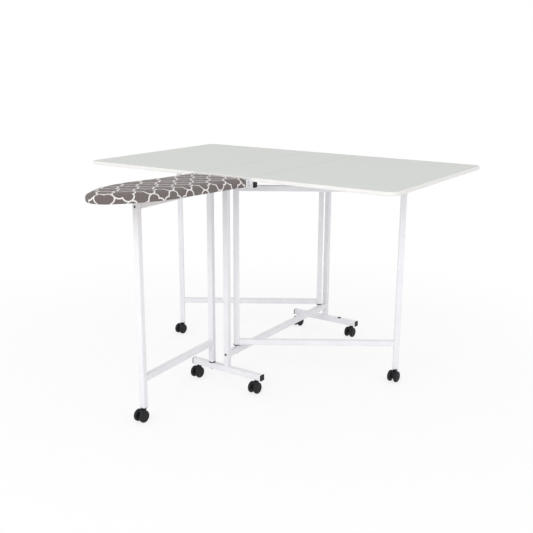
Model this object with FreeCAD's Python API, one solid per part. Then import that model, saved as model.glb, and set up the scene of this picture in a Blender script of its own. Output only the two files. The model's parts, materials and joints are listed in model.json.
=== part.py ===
import FreeCAD, Part
import math
import os

from FreeCAD import Vector

# Folding sewing and cutting table with a hinged ironing board, built unfolded.
# Millimetres, +Z up.  While building, the origin is on the floor under the middle
# of the tabletop: X runs along the long axis, -Y points to the ironing board.
# At the end everything is moved along Y so that the origin is under the middle of
# the whole table with its board.

# ---- driving dimensions ----------------------------------------------------------
# tabletop
TOP_HEIGHT = 889.0
TOP_LENGTH = 1476.0
TOP_DEPTH = 886.0
TOP_THICKNESS = 15.0
TOP_CORNER_RADIUS = 40.0
TOP_EDGE_ROUND = 2.0
CENTRE_LEAF_WIDTH = 260.0
SEAM_GAP = 1.4

# steel tube
TUBE = 23.0
TUBE_WALL = 1.5
TUBE_ROUND = 2.5
FOOT_TUBE = 25.0
CROSSBAR_TALL = 30.0
CAP_HEAD = 5.0
CAP_PLUG = 7.0
PLUG_SLACK = 0.1

# centre frame
NEAR_OVERHANG = 20.0
FAR_OVERHANG = 36.0
FOOT_LENGTH = 358.0
CROSSBAR_LENGTH = 253.0
STRETCHER_HEIGHT = 132.0

# leaf gates
PIVOT_INSET = 67.0
GATE_STOP_SHORT = 18.0
GATE_ANGLE = 32.8
BUSH_FLANGE = 4.2
BUSH_RADIUS = 11.2
BUSH_PLUG = 20.0
BOSS_TALL = 9.0
BOSS_RADIUS = 9.5
GATE_RAIL_BOTTOM = 157.0
LEG_CAP_HEAD = 2.2

# ironing gate
IRON_PIVOT_X = -80.6
IRON_GATE_LENGTH = 462.3
IRON_GATE_SKEW = 3.56
ARM_OVERHANG = 4.0

# pivot bolts of the gates
PIVOT_RADIUS = 5.0
PIVOT_HEAD_RADIUS = 8.0
PIVOT_HEAD = 5.0
PIVOT_ENGAGEMENT = 18.0

# frame bolts
BOLT_RADIUS = 3.0
BOLT_HEAD_RADIUS = 5.5
BOLT_HEAD = 2.6
BOLT_REACH = 12.0

# clearances
RUNNING_FIT = 0.05
HOLE_CLEARANCE = 0.3
REST_GAP = 0.3

# casters
WHEEL_RADIUS = 24.0
WHEEL_WIDTH = 15.5
WHEEL_ROUND = 6.0
WHEEL_DISH = 1.6
WHEEL_HUB_RADIUS = 13.5
FORK_THICKNESS = 13.0
FORK_GAP = 0.5
CASTER_TRAIL = 15.0
CASTER_NECK = 6.0
NECK_RADIUS = 7.0
STEM_RADIUS = 4.0
STEM_LENGTH = 20.0
AXLE_RADIUS = 3.0
FORK_BOSS_RADIUS = 10.0
SOCKET_FLANGE = 1.5
SOCKET_RADIUS = 8.0
SOCKET_FLANGE_RADIUS = 10.5
SOCKET_DEPTH = 21.5
FOOT_CASTER_INSET = 29.0

# drop-leaf hinges: places along the right seam, as shares of the tabletop's depth,
# that the gate legs don't sweep over
HINGE_PLACES = (-0.3725, -0.1648, 0.1851)
HINGE_LENGTH = 60.0
HINGE_LEAF = 28.0
HINGE_SHEET = 1.5
KNUCKLE_RADIUS = 4.0
HINGE_PIN_RADIUS = 2.0
HINGE_PIN_HEAD = 1.0
KNUCKLE_GAP = 0.4

# ironing board
BOARD_HALF_WIDTH = 133.0
BOARD_LENGTH = 690.0
BOARD_TAPER = 285.0
BOARD_SIDE_RADIUS = 450.0
BOARD_REAR_RADIUS = 20.0
BOARD_THICKNESS = 32.0
BOARD_TILT = 1.8
PANEL_THICKNESS = 12.0
SKIRT = 4.0
PAD_TOP_ROUND = 15.0
PAD_HEM_ROUND = 2.0
BOARD_REAR_GAP = 17.0

# ironing board hinge
BOARD_PIVOT_REACH = 25.0
BOARD_PIVOT_DROP = 13.0
BOARD_TOP_DROP = 1.0
BRACKET_SHEET = 3.0
BRACKET_WIDTH = 35.0
BRACKET_TALL = 35.0
BRACKET_CLEAR = 0.5
EAR_RADIUS = 10.0
LUG_SHEET = 2.4
LUG_RADIUS = 8.0
LUG_FLANGE_LENGTH = 60.0
LUG_FLANGE_WIDTH = 34.0
LUG_FLANGE_OFFSET = 2.0
BOARD_PIN_RADIUS = 3.0
BOARD_PIN_HEAD_RADIUS = 6.0
BOARD_PIN_HEAD = 3.0

# ---- places worked out from the dimensions ---------------------------------------
TOP_UNDERSIDE = TOP_HEIGHT - TOP_THICKNESS
SEAM_X = CENTRE_LEAF_WIDTH / 2 + SEAM_GAP / 2
NEAR_EDGE_Y = -TOP_DEPTH / 2
NEAR_POST_Y = NEAR_EDGE_Y + NEAR_OVERHANG
FAR_POST_Y = -NEAR_EDGE_Y - FAR_OVERHANG
FRAME_SHIFT = (NEAR_POST_Y + FAR_POST_Y) / 2
NEAR_PIVOT_Y = NEAR_POST_Y + PIVOT_INSET
FAR_PIVOT_Y = FAR_POST_Y - PIVOT_INSET
GATE_LENGTH = FAR_PIVOT_Y - NEAR_PIVOT_Y - GATE_STOP_SHORT
LEG_BOTTOM = 2 * WHEEL_RADIUS + CASTER_NECK
FOOT_TOP = LEG_BOTTOM + FOOT_TUBE
STRETCHER_TOP = STRETCHER_HEIGHT + TUBE / 2
STRETCHER_BOTTOM = STRETCHER_HEIGHT - TUBE / 2
UPPER_RAIL_BOTTOM = TOP_UNDERSIDE - TUBE
BUSH_ROOM = BUSH_FLANGE + REST_GAP
GATE_BOTTOM = STRETCHER_TOP + BOSS_TALL + BUSH_ROOM
GATE_TOP = UPPER_RAIL_BOTTOM - BOSS_TALL - BUSH_ROOM
GATE_RAIL_TOP = GATE_TOP - TUBE
IRON_POST_BOTTOM = FOOT_TOP + BUSH_ROOM
CROSSBAR_BOTTOM = TOP_UNDERSIDE - CROSSBAR_TALL
CROSSBAR_OFFSET = TUBE
HINGE_AXIS_Z = TOP_UNDERSIDE - KNUCKLE_RADIUS - REST_GAP
FOOT_CASTER_X = FOOT_LENGTH / 2 - FOOT_CASTER_INSET

BOARD_PIVOT_Y = NEAR_EDGE_Y - BOARD_PIVOT_REACH
BOARD_PIVOT_HEIGHT = TOP_HEIGHT - BOARD_PIVOT_DROP
BOARD_REAR_Y = NEAR_EDGE_Y - BOARD_REAR_GAP
BOARD_TOP = TOP_HEIGHT - BOARD_TOP_DROP
BOARD_UNDERSIDE = BOARD_TOP - BOARD_THICKNESS
LUG_INNER_X = BOARD_HALF_WIDTH + RUNNING_FIT
EAR_INNER_X = LUG_INNER_X + LUG_SHEET + REST_GAP
EAR_OUTER_X = EAR_INNER_X + BRACKET_SHEET
BRACKET_FRONT_Y = NEAR_EDGE_Y - BRACKET_CLEAR - BRACKET_SHEET

IRON_GATE_ANGLE = IRON_GATE_SKEW - 90.0

X_AXIS = Vector(1, 0, 0)
Y_AXIS = Vector(0, 1, 0)
Z_AXIS = Vector(0, 0, 1)


# ---- shape helpers ----------------------------------------------------------------
def box(x0, x1, y0, y1, z0, z1):
    """Block between two corners, given in any order."""
    low = Vector(min(x0, x1), min(y0, y1), min(z0, z1))
    return Part.makeBox(abs(x1 - x0), abs(y1 - y0), abs(z1 - z0), low)


def cylinder(radius, start, length, direction=Z_AXIS):
    return Part.makeCylinder(radius, length, start, direction)


def hexagon(radius, start, length, direction=Z_AXIS):
    """Hexagonal prism, such as a bolt head, along the direction."""
    turn = FreeCAD.Rotation(Z_AXIS, direction)
    corners = []
    for side in range(7):
        angle = math.radians(60 * side)
        corner = Vector(radius * math.cos(angle), radius * math.sin(angle), 0)
        corners.append(start + turn.multVec(corner))
    return Part.Face(Part.makePolygon(corners)).extrude(direction * length)


def edges_along(shape, direction):
    """Straight edges that run along a direction."""
    found = []
    for edge in shape.Edges:
        if isinstance(edge.Curve, Part.Line) and edge.Curve.Direction.cross(direction).Length < 1e-6:
            found.append(edge)
    return found


def tube(length, wide, tall):
    """Hollow tube along +X from the origin, centred in Y and Z."""
    outer = box(0, length, -wide / 2, wide / 2, -tall / 2, tall / 2)
    outer = outer.makeFillet(TUBE_ROUND, edges_along(outer, X_AXIS))
    half_y = wide / 2 - TUBE_WALL
    half_z = tall / 2 - TUBE_WALL
    return outer.cut(box(-1, length + 1, -half_y, half_y, -half_z, half_z))


def tube_x(x0, x1, y, z, wide=TUBE, tall=TUBE):
    """Tube along X between two ends, centred on y and z."""
    shape = tube(x1 - x0, wide, tall)
    shape.translate(Vector(x0, y, z))
    return shape


def tube_y(y0, y1, x, z):
    """Tube along Y between two ends, centred on x and z."""
    shape = tube(y1 - y0, TUBE, TUBE)
    shape.rotate(Vector(), Z_AXIS, 90)
    shape.translate(Vector(x, y0, z))
    return shape


def tube_z(z0, z1, x, y):
    """Upright tube between two heights, centred on x and y."""
    shape = tube(z1 - z0, TUBE, TUBE)
    shape.rotate(Vector(), Y_AXIS, -90)
    shape.translate(Vector(x, y, z0))
    return shape


def plug_block(depth, wide=TUBE, tall=TUBE):
    """Block that fills the inside of a tube's end, along +X from the origin."""
    half_y = wide / 2 - TUBE_WALL - PLUG_SLACK
    half_z = tall / 2 - TUBE_WALL - PLUG_SLACK
    return box(0, depth, -half_y, half_y, -half_z, half_z)


def end_cap(x, y, z, outward, wide, tall):
    """Push-in cap for the end of a tube along X; outward is +1 or -1."""
    head = box(-CAP_HEAD, 0, -wide / 2, wide / 2, -tall / 2, tall / 2)
    head = head.makeFillet(TUBE_ROUND, edges_along(head, X_AXIS))
    rim = [edge for edge in head.Edges if abs(edge.CenterOfMass.x + CAP_HEAD) < 1e-6]
    head = head.makeFillet(TUBE_WALL, rim)
    cap = head.fuse(plug_block(CAP_PLUG, wide, tall))
    if outward > 0:
        cap.rotate(Vector(), Z_AXIS, 180)
    cap.translate(Vector(x, y, z))
    return cap


def half_turn(shape):
    """Copy of a shape turned half round about the frame's upright centre line."""
    copy = shape.copy()
    copy.rotate(Vector(0, FRAME_SHIFT, 0), Z_AXIS, 180)
    return copy


def mirrored_x(shape):
    """Copy of a shape mirrored to the other side of the table's centre line."""
    return shape.mirror(Vector(), X_AXIS)


# ---- tabletop ---------------------------------------------------------------------
def top_slab(x0, x1, outer_side):
    """Tabletop panel; its corners on the outer side are rounded in plan."""
    slab = box(x0, x1, NEAR_EDGE_Y, -NEAR_EDGE_Y, TOP_UNDERSIDE, TOP_HEIGHT)
    if outer_side:
        outer_x = x1 if outer_side > 0 else x0
        corners = [e for e in edges_along(slab, Z_AXIS) if abs(e.CenterOfMass.x - outer_x) < 1e-6]
        slab = slab.makeFillet(TOP_CORNER_RADIUS, corners)
    rim = []
    for edge in slab.Edges:
        middle = edge.CenterOfMass
        on_face = min(abs(middle.z - TOP_HEIGHT), abs(middle.z - TOP_UNDERSIDE)) < 1e-6
        on_seam = abs(abs(middle.x) - SEAM_X) < SEAM_GAP
        if on_face and not on_seam:
            rim.append(edge)
    return slab.makeFillet(TOP_EDGE_ROUND, rim)


def tabletop():
    half = CENTRE_LEAF_WIDTH / 2
    right = top_slab(half + SEAM_GAP, TOP_LENGTH / 2, 1)
    return {
        "centre_leaf": top_slab(-half, half, 0),
        "right_leaf": right,
        "left_leaf": mirrored_x(right),
    }


# ---- drop-leaf hinges -------------------------------------------------------------
def hinge_half(y, side, knuckles, others):
    """One sheet of a hinge with its knuckles; side is +1 for the leaf, -1 for the centre."""
    bottom = TOP_UNDERSIDE - HINGE_SHEET
    clear = KNUCKLE_RADIUS + KNUCKLE_GAP
    sheet = box(SEAM_X + side, SEAM_X + side * HINGE_LEAF, y - HINGE_LENGTH / 2,
                y + HINGE_LENGTH / 2, bottom, TOP_UNDERSIDE)
    for low, high in others:
        sheet = sheet.cut(box(SEAM_X, SEAM_X + side * clear, low - KNUCKLE_GAP,
                              high + KNUCKLE_GAP, bottom, TOP_UNDERSIDE))
    for low, high in knuckles:
        start = Vector(SEAM_X, low, HINGE_AXIS_Z)
        sheet = sheet.fuse(cylinder(KNUCKLE_RADIUS, start, high - low, Y_AXIS))
    bore_start = Vector(SEAM_X, y - HINGE_LENGTH, HINGE_AXIS_Z)
    bore = cylinder(HINGE_PIN_RADIUS + RUNNING_FIT, bore_start, 2 * HINGE_LENGTH, Y_AXIS)
    return sheet.cut(bore).removeSplitter()


def hinge_pin(y):
    """Pin through one hinge, with a head at each end."""
    half = HINGE_LENGTH / 2
    start = Vector(SEAM_X, y - half, HINGE_AXIS_Z)
    pin = cylinder(HINGE_PIN_RADIUS, start, HINGE_LENGTH, Y_AXIS)
    for low in (y - half - HINGE_PIN_HEAD, y + half):
        head_start = Vector(SEAM_X, low, HINGE_AXIS_Z)
        pin = pin.fuse(cylinder(KNUCKLE_RADIUS - RUNNING_FIT, head_start, HINGE_PIN_HEAD, Y_AXIS))
    return pin


def hinges():
    centre, moving, pins = [], [], []
    third = HINGE_LENGTH / 3
    for place in HINGE_PLACES:
        y = place * TOP_DEPTH
        low, high = y - HINGE_LENGTH / 2, y + HINGE_LENGTH / 2
        ends = [(low, low + third - KNUCKLE_GAP / 2), (high - third + KNUCKLE_GAP / 2, high)]
        middle = [(low + third + KNUCKLE_GAP / 2, high - third - KNUCKLE_GAP / 2)]
        centre.append(hinge_half(y, -1, ends, middle))
        moving.append(hinge_half(y, 1, middle, ends))
        pins.append(hinge_pin(y))
    return {
        "centre_hinge_plates": centre + [half_turn(shape) for shape in centre],
        "right_hinge_plates": moving,
        "left_hinge_plates": [half_turn(shape) for shape in moving],
        "hinge_pins": pins + [half_turn(shape) for shape in pins],
    }


# ---- centre frame -----------------------------------------------------------------
def foot():
    """Near foot: tube across the table with caster, gate and spare holes."""
    half = FOOT_LENGTH / 2 - CAP_HEAD
    middle_z = LEG_BOTTOM + FOOT_TUBE / 2
    shape = tube_x(-half, half, NEAR_POST_Y, middle_z, FOOT_TUBE, FOOT_TUBE)
    for x in (-FOOT_CASTER_X, FOOT_CASTER_X):
        start = Vector(x, NEAR_POST_Y, LEG_BOTTOM - 1)
        shape = shape.cut(cylinder(SOCKET_RADIUS + PLUG_SLACK, start, FOOT_TUBE / 2))
    start = Vector(IRON_PIVOT_X, NEAR_POST_Y, LEG_BOTTOM - 1)
    return shape.cut(cylinder(PIVOT_RADIUS + HOLE_CLEARANCE, start, FOOT_TUBE + 2))


def bolt_heights():
    """Heights of the bolts through each post: into the stretcher and the crossbar."""
    return (STRETCHER_HEIGHT, CROSSBAR_BOTTOM + CROSSBAR_TALL / 2)


def post():
    """Near post, from the foot up to the tabletop, drilled for its bolts."""
    shape = tube_z(FOOT_TOP, TOP_UNDERSIDE, 0, NEAR_POST_Y)
    for z in bolt_heights():
        start = Vector(0, NEAR_POST_Y - TUBE, z)
        shape = shape.cut(cylinder(BOLT_RADIUS + HOLE_CLEARANCE, start, 2 * TUBE, Y_AXIS))
    return shape


def crossbar():
    """Near crossbar, on the inner side of the post, under the centre leaf."""
    half = CROSSBAR_LENGTH / 2 - CAP_HEAD
    y = NEAR_POST_Y + CROSSBAR_OFFSET
    middle_z = CROSSBAR_BOTTOM + CROSSBAR_TALL / 2
    shape = tube_x(-half, half, y, middle_z, TUBE, CROSSBAR_TALL)
    start = Vector(0, y - TUBE, middle_z)
    return shape.cut(cylinder(BOLT_RADIUS + HOLE_CLEARANCE, start, TUBE, Y_AXIS))


def with_boss(shape, place, outward):
    """Tube with a boss round a gate pivot on the face at that place, bored from below."""
    boss = cylinder(BOSS_RADIUS, place, BOSS_TALL, Z_AXIS * outward)
    low, high = sorted((place.z - outward * (TUBE - TUBE_WALL), place.z + outward * BOSS_TALL))
    bore_start = Vector(place.x, place.y, low)
    return shape.fuse(boss).cut(cylinder(PIVOT_RADIUS + HOLE_CLEARANCE, bore_start, high - low))


def low_stretcher():
    y0 = NEAR_POST_Y + TUBE / 2
    y1 = FAR_POST_Y - TUBE / 2
    shape = tube_y(y0, y1, 0, STRETCHER_HEIGHT)
    for y in (NEAR_PIVOT_Y, FAR_PIVOT_Y):
        shape = with_boss(shape, Vector(0, y, STRETCHER_TOP), 1)
        start = Vector(0, y, STRETCHER_BOTTOM - 1)
        shape = shape.cut(cylinder(PIVOT_RADIUS + HOLE_CLEARANCE, start, TUBE / 2))
    return shape


def upper_rail():
    inset = CROSSBAR_OFFSET + TUBE / 2
    shape = tube_y(NEAR_POST_Y + inset, FAR_POST_Y - inset, 0, UPPER_RAIL_BOTTOM + TUBE / 2)
    for y in (NEAR_PIVOT_Y, FAR_PIVOT_Y):
        shape = with_boss(shape, Vector(0, y, UPPER_RAIL_BOTTOM), -1)
    return shape


def gate_arm_end():
    """X of the open end of the arm that holds the ironing gate's upper pivot."""
    return IRON_PIVOT_X - TUBE / 2 - ARM_OVERHANG


def ironing_gate_arm():
    z = UPPER_RAIL_BOTTOM + TUBE / 2
    shape = tube_x(gate_arm_end(), -TUBE / 2, NEAR_POST_Y, z)
    return with_boss(shape, Vector(IRON_PIVOT_X, NEAR_POST_Y, UPPER_RAIL_BOTTOM), -1)


def foot_end_caps():
    z = LEG_BOTTOM + FOOT_TUBE / 2
    x = FOOT_LENGTH / 2 - CAP_HEAD
    near = [end_cap(side * x, NEAR_POST_Y, z, side, FOOT_TUBE, FOOT_TUBE) for side in (-1, 1)]
    return near + [half_turn(cap) for cap in near]


def crossbar_end_caps():
    z = CROSSBAR_BOTTOM + CROSSBAR_TALL / 2
    x = CROSSBAR_LENGTH / 2 - CAP_HEAD
    y = NEAR_POST_Y + CROSSBAR_OFFSET
    near = [end_cap(side * x, y, z, side, TUBE, CROSSBAR_TALL) for side in (-1, 1)]
    arm_cap = end_cap(gate_arm_end(), NEAR_POST_Y, UPPER_RAIL_BOTTOM + TUBE / 2, -1, TUBE, TUBE)
    return near + [half_turn(cap) for cap in near] + [arm_cap]


def foot_hole_plug():
    """Plug in the far foot's spare pivot hole: both feet are the same part."""
    x, y = -IRON_PIVOT_X, FAR_POST_Y
    stem_start = Vector(x, y, FOOT_TOP - 3 * TUBE_WALL)
    stem = cylinder(PIVOT_RADIUS + HOLE_CLEARANCE / 2, stem_start, 3 * TUBE_WALL)
    head = cylinder(PIVOT_HEAD_RADIUS, Vector(x, y, FOOT_TOP), 2 * TUBE_WALL)
    dome = [edge for edge in head.Edges if edge.CenterOfMass.z > FOOT_TOP + TUBE_WALL]
    head = head.makeFillet(TUBE_WALL, dome[:1])
    return stem.fuse(head)


def pivot_bolt_up(x, y, seat, post_bottom):
    """Bolt whose head is under a tube and whose shank stands up into a gate post."""
    head = hexagon(PIVOT_HEAD_RADIUS, Vector(x, y, seat - PIVOT_HEAD), PIVOT_HEAD)
    length = post_bottom + PIVOT_ENGAGEMENT - seat
    return head.fuse(cylinder(PIVOT_RADIUS, Vector(x, y, seat), length))


def pivot_bolt_down(x, y):
    """Bolt whose head lies inside an upper tube and whose shank hangs into a gate post."""
    seat = UPPER_RAIL_BOTTOM + TUBE_WALL
    low = GATE_TOP - PIVOT_ENGAGEMENT
    shank = cylinder(PIVOT_RADIUS, Vector(x, y, low), seat - low)
    return shank.fuse(hexagon(PIVOT_HEAD_RADIUS, Vector(x, y, seat), PIVOT_HEAD))


def gate_pivot_bolts():
    bolts = []
    for y in (NEAR_PIVOT_Y, FAR_PIVOT_Y):
        bolts.append(pivot_bolt_up(0, y, STRETCHER_BOTTOM, GATE_BOTTOM))
        bolts.append(pivot_bolt_down(0, y))
    bolts.append(pivot_bolt_up(IRON_PIVOT_X, NEAR_POST_Y, LEG_BOTTOM, IRON_POST_BOTTOM))
    bolts.append(pivot_bolt_down(IRON_PIVOT_X, NEAR_POST_Y))
    return bolts


def frame_bolts():
    """Bolts from the outside of each post into the stretcher and the crossbar."""
    near = []
    for z in bolt_heights():
        face = Vector(0, NEAR_POST_Y - TUBE / 2, z)
        head_start = face - Y_AXIS * BOLT_HEAD
        head = cylinder(BOLT_HEAD_RADIUS, head_start, BOLT_HEAD, Y_AXIS)
        front = [edge for edge in head.Edges if abs(edge.CenterOfMass.y - head_start.y) < 1e-6]
        head = head.makeFillet(BOLT_HEAD / 2, front)
        near.append(head.fuse(cylinder(BOLT_RADIUS, face, TUBE + BOLT_REACH, Y_AXIS)))
    return near + [half_turn(bolt) for bolt in near]


def centre_frame():
    near_foot, near_post, near_crossbar = foot(), post(), crossbar()
    return {
        "near_foot": near_foot,
        "far_foot": half_turn(near_foot),
        "near_post": near_post,
        "far_post": half_turn(near_post),
        "near_crossbar": near_crossbar,
        "far_crossbar": half_turn(near_crossbar),
        "low_stretcher": low_stretcher(),
        "upper_rail": upper_rail(),
        "ironing_gate_arm": ironing_gate_arm(),
        "foot_end_caps": foot_end_caps(),
        "crossbar_end_caps": crossbar_end_caps(),
        "foot_hole_plug": foot_hole_plug(),
        "gate_pivot_bolts": gate_pivot_bolts(),
        "frame_bolts": frame_bolts(),
    }


# ---- gates ------------------------------------------------------------------------
def bushing(end, outward):
    """Flanged plastic bush in the end of an upright tube; outward is +1 up, -1 down."""
    body = cylinder(BUSH_RADIUS, Vector(), BUSH_FLANGE)
    plug = plug_block(BUSH_PLUG)
    plug.rotate(Vector(), Y_AXIS, 90)
    body = body.fuse(plug)
    bore_start = Vector(0, 0, -BUSH_PLUG - 1)
    bore = cylinder(PIVOT_RADIUS + RUNNING_FIT, bore_start, BUSH_PLUG + BUSH_FLANGE + 2)
    body = body.cut(bore)
    if outward < 0:
        body.rotate(Vector(), X_AXIS, 180)
    body.translate(Vector(0, 0, end))
    return body


def leg_top_cap(top):
    """Cap on the top of a gate leg; its head's top face is at the given height."""
    half = TUBE / 2
    head = box(-half, half, -half, half, top - LEG_CAP_HEAD, top)
    head = head.makeFillet(TUBE_ROUND, edges_along(head, Z_AXIS))
    plug = plug_block(CAP_PLUG)
    plug.rotate(Vector(), Y_AXIS, 90)
    plug.translate(Vector(0, 0, top - LEG_CAP_HEAD))
    return head.fuse(plug)


def leg_socket():
    """Caster socket in the bottom of a gate leg."""
    half = TUBE / 2
    flange = box(-half, half, -half, half, LEG_BOTTOM - SOCKET_FLANGE, LEG_BOTTOM)
    flange = flange.makeFillet(TUBE_ROUND, edges_along(flange, Z_AXIS))
    plug = plug_block(SOCKET_DEPTH)
    plug.rotate(Vector(), Y_AXIS, -90)
    plug.translate(Vector(0, 0, LEG_BOTTOM))
    bore_start = Vector(0, 0, LEG_BOTTOM - 2 * SOCKET_FLANGE)
    bore = cylinder(STEM_RADIUS + RUNNING_FIT, bore_start, SOCKET_DEPTH + 4 * SOCKET_FLANGE)
    return flange.fuse(plug).cut(bore)


def gate(name, leg, pivot, angle, length, post_bottom, cap_top):
    """Swinging gate: inner post on its pivots, two rails and an outer leg."""
    half = TUBE / 2
    pieces = {
        name + "_post": [tube_z(post_bottom, GATE_TOP, 0, 0)],
        name + "_leg": [tube_z(LEG_BOTTOM, cap_top - LEG_CAP_HEAD, length, 0)],
        name + "_top_rail": [tube_x(half, length - half, 0, GATE_RAIL_TOP + half)],
        name + "_bottom_rail": [tube_x(half, length - half, 0, GATE_RAIL_BOTTOM + half)],
        name + "_bushings": [bushing(post_bottom, -1), bushing(GATE_TOP, 1)],
    }
    plugs = [leg_top_cap(cap_top), leg_socket()]
    for plug in plugs:
        plug.translate(Vector(length, 0, 0))
    pieces[leg + "_plugs"] = plugs
    for shapes in pieces.values():
        for shape in shapes:
            shape.rotate(Vector(), Z_AXIS, angle)
            shape.translate(pivot)
    return pieces


def gate_leg_point(pivot, angle, length):
    """Place of a gate's outer leg on the floor."""
    turn = math.radians(angle)
    return pivot + Vector(length * math.cos(turn), length * math.sin(turn), 0)


RIGHT_PIVOT = Vector(0, NEAR_PIVOT_Y, 0)
LEFT_PIVOT = Vector(0, FAR_PIVOT_Y, 0)
IRON_PIVOT = Vector(IRON_PIVOT_X, NEAR_POST_Y, 0)
RIGHT_LEG = gate_leg_point(RIGHT_PIVOT, GATE_ANGLE, GATE_LENGTH)
LEFT_LEG = gate_leg_point(LEFT_PIVOT, GATE_ANGLE + 180, GATE_LENGTH)
IRON_LEG = gate_leg_point(IRON_PIVOT, IRON_GATE_ANGLE, IRON_GATE_LENGTH)


def board_underside_at(y):
    """Height of the tilted ironing board's underside at a place along Y."""
    tilt = math.radians(BOARD_TILT)
    drop = (BOARD_PIVOT_HEIGHT - BOARD_UNDERSIDE) / math.cos(tilt)
    return BOARD_PIVOT_HEIGHT - drop + (BOARD_PIVOT_Y - y) * math.tan(tilt)


def gates():
    leaf_cap_top = TOP_UNDERSIDE - REST_GAP
    reach = TUBE / 2 * (1 + math.sin(math.radians(IRON_GATE_SKEW)))
    iron_cap_top = board_underside_at(IRON_LEG.y + reach) - REST_GAP
    pieces = {}
    pieces.update(gate("right_gate", "right_leg", RIGHT_PIVOT, GATE_ANGLE, GATE_LENGTH,
                       GATE_BOTTOM, leaf_cap_top))
    pieces.update(gate("left_gate", "left_leg", LEFT_PIVOT, GATE_ANGLE + 180, GATE_LENGTH,
                       GATE_BOTTOM, leaf_cap_top))
    pieces.update(gate("ironing_gate", "ironing_leg", IRON_PIVOT, IRON_GATE_ANGLE,
                       IRON_GATE_LENGTH, IRON_POST_BOTTOM, iron_cap_top))
    return pieces


# ---- casters ----------------------------------------------------------------------
def foot_socket(x, y):
    """Caster socket in the underside of a foot."""
    flange_start = Vector(x, y, LEG_BOTTOM - SOCKET_FLANGE)
    shape = cylinder(SOCKET_FLANGE_RADIUS, flange_start, SOCKET_FLANGE)
    shape = shape.fuse(cylinder(SOCKET_RADIUS, Vector(x, y, LEG_BOTTOM), SOCKET_DEPTH))
    bore_start = Vector(x, y, LEG_BOTTOM - 2 * SOCKET_FLANGE)
    return shape.cut(cylinder(STEM_RADIUS + RUNNING_FIT, bore_start, 2 * SOCKET_DEPTH))


def caster_fork(x, y):
    """Caster body: stem and neck on the swivel axis, and a web between the wheels."""
    half = FORK_THICKNESS / 2
    neck_top = LEG_BOTTOM - SOCKET_FLANGE - REST_GAP
    neck_bottom = 2 * WHEEL_RADIUS + FORK_GAP
    web_top = (neck_top + neck_bottom) / 2
    stem = cylinder(STEM_RADIUS, Vector(x, y, neck_top), STEM_LENGTH)
    neck = cylinder(NECK_RADIUS, Vector(x, y, neck_bottom), neck_top - neck_bottom)
    axle = Vector(x - half, y - CASTER_TRAIL, WHEEL_RADIUS)
    boss = cylinder(FORK_BOSS_RADIUS, axle, FORK_THICKNESS, X_AXIS)
    rear = y - CASTER_TRAIL - FORK_BOSS_RADIUS
    outline = [
        Vector(x - half, rear, WHEEL_RADIUS),
        Vector(x - half, rear + 2, neck_bottom - 6),
        Vector(x - half, rear + 9, neck_bottom),
        Vector(x - half, y - NECK_RADIUS, web_top),
        Vector(x - half, y + NECK_RADIUS, web_top),
        Vector(x - half, y + NECK_RADIUS, neck_bottom - 4),
        Vector(x - half, y - CASTER_TRAIL + FORK_BOSS_RADIUS, WHEEL_RADIUS),
    ]
    web = Part.Face(Part.makePolygon(outline + outline[:1])).extrude(X_AXIS * FORK_THICKNESS)
    bore = cylinder(AXLE_RADIUS + RUNNING_FIT, axle - X_AXIS, FORK_THICKNESS + 2, X_AXIS)
    return stem.fuse([neck, boss, web]).cut(bore).removeSplitter()


def caster_wheel(x0, outward, y):
    """One wheel from its inner face at x0, with a dished outer face and a hub."""
    tread = WHEEL_WIDTH - WHEEL_ROUND
    profile = [
        Vector(0, 0, 0),
        Vector(0, 0, WHEEL_RADIUS - 4),
        Vector(1.2, 0, WHEEL_RADIUS - 1.5),
        Vector(3.4, 0, WHEEL_RADIUS - 0.3),
        Vector(5.2, 0, WHEEL_RADIUS),
        Vector(tread, 0, WHEEL_RADIUS - 0.2),
        Vector(tread + 0.40 * WHEEL_ROUND, 0, WHEEL_RADIUS - 0.22 * WHEEL_ROUND),
        Vector(tread + 0.72 * WHEEL_ROUND, 0, WHEEL_RADIUS - 0.58 * WHEEL_ROUND),
        Vector(tread + 0.92 * WHEEL_ROUND, 0, WHEEL_RADIUS - WHEEL_ROUND),
        Vector(WHEEL_WIDTH, 0, WHEEL_HUB_RADIUS + 1),
        Vector(WHEEL_WIDTH - WHEEL_DISH, 0, WHEEL_HUB_RADIUS),
        Vector(WHEEL_WIDTH - WHEEL_DISH, 0, AXLE_RADIUS + 2),
        Vector(WHEEL_WIDTH, 0, AXLE_RADIUS + 1),
        Vector(WHEEL_WIDTH, 0, 0),
    ]
    face = Part.Face(Part.makePolygon(profile + profile[:1]))
    wheel = face.revolve(Vector(), X_AXIS, 360)
    if outward < 0:
        wheel.rotate(Vector(), Z_AXIS, 180)
    wheel.translate(Vector(x0, y - CASTER_TRAIL, WHEEL_RADIUS))
    return wheel


def caster_wheels(x, y):
    """Both wheels on their common axle."""
    inner = FORK_THICKNESS / 2 + FORK_GAP
    axle_start = Vector(x - inner, y - CASTER_TRAIL, WHEEL_RADIUS)
    axle = cylinder(AXLE_RADIUS, axle_start, 2 * inner, X_AXIS)
    left = caster_wheel(x - inner, -1, y)
    right = caster_wheel(x + inner, 1, y)
    return axle.fuse([left, right]).removeSplitter()


def caster_places():
    """Name and swivel axis of every caster."""
    return {
        "near_left": Vector(-FOOT_CASTER_X, NEAR_POST_Y, 0),
        "near_right": Vector(FOOT_CASTER_X, NEAR_POST_Y, 0),
        "far_left": Vector(-FOOT_CASTER_X, FAR_POST_Y, 0),
        "far_right": Vector(FOOT_CASTER_X, FAR_POST_Y, 0),
        "right_gate": RIGHT_LEG,
        "left_gate": LEFT_LEG,
        "ironing_gate": IRON_LEG,
    }


def casters():
    pieces = {}
    sockets = []
    for name, place in caster_places().items():
        pieces[name + "_caster_fork"] = caster_fork(place.x, place.y)
        pieces[name + "_caster_wheels"] = caster_wheels(place.x, place.y)
        if "gate" not in name:
            sockets.append(foot_socket(place.x, place.y))
    pieces["foot_caster_sockets"] = sockets
    return pieces


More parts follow.
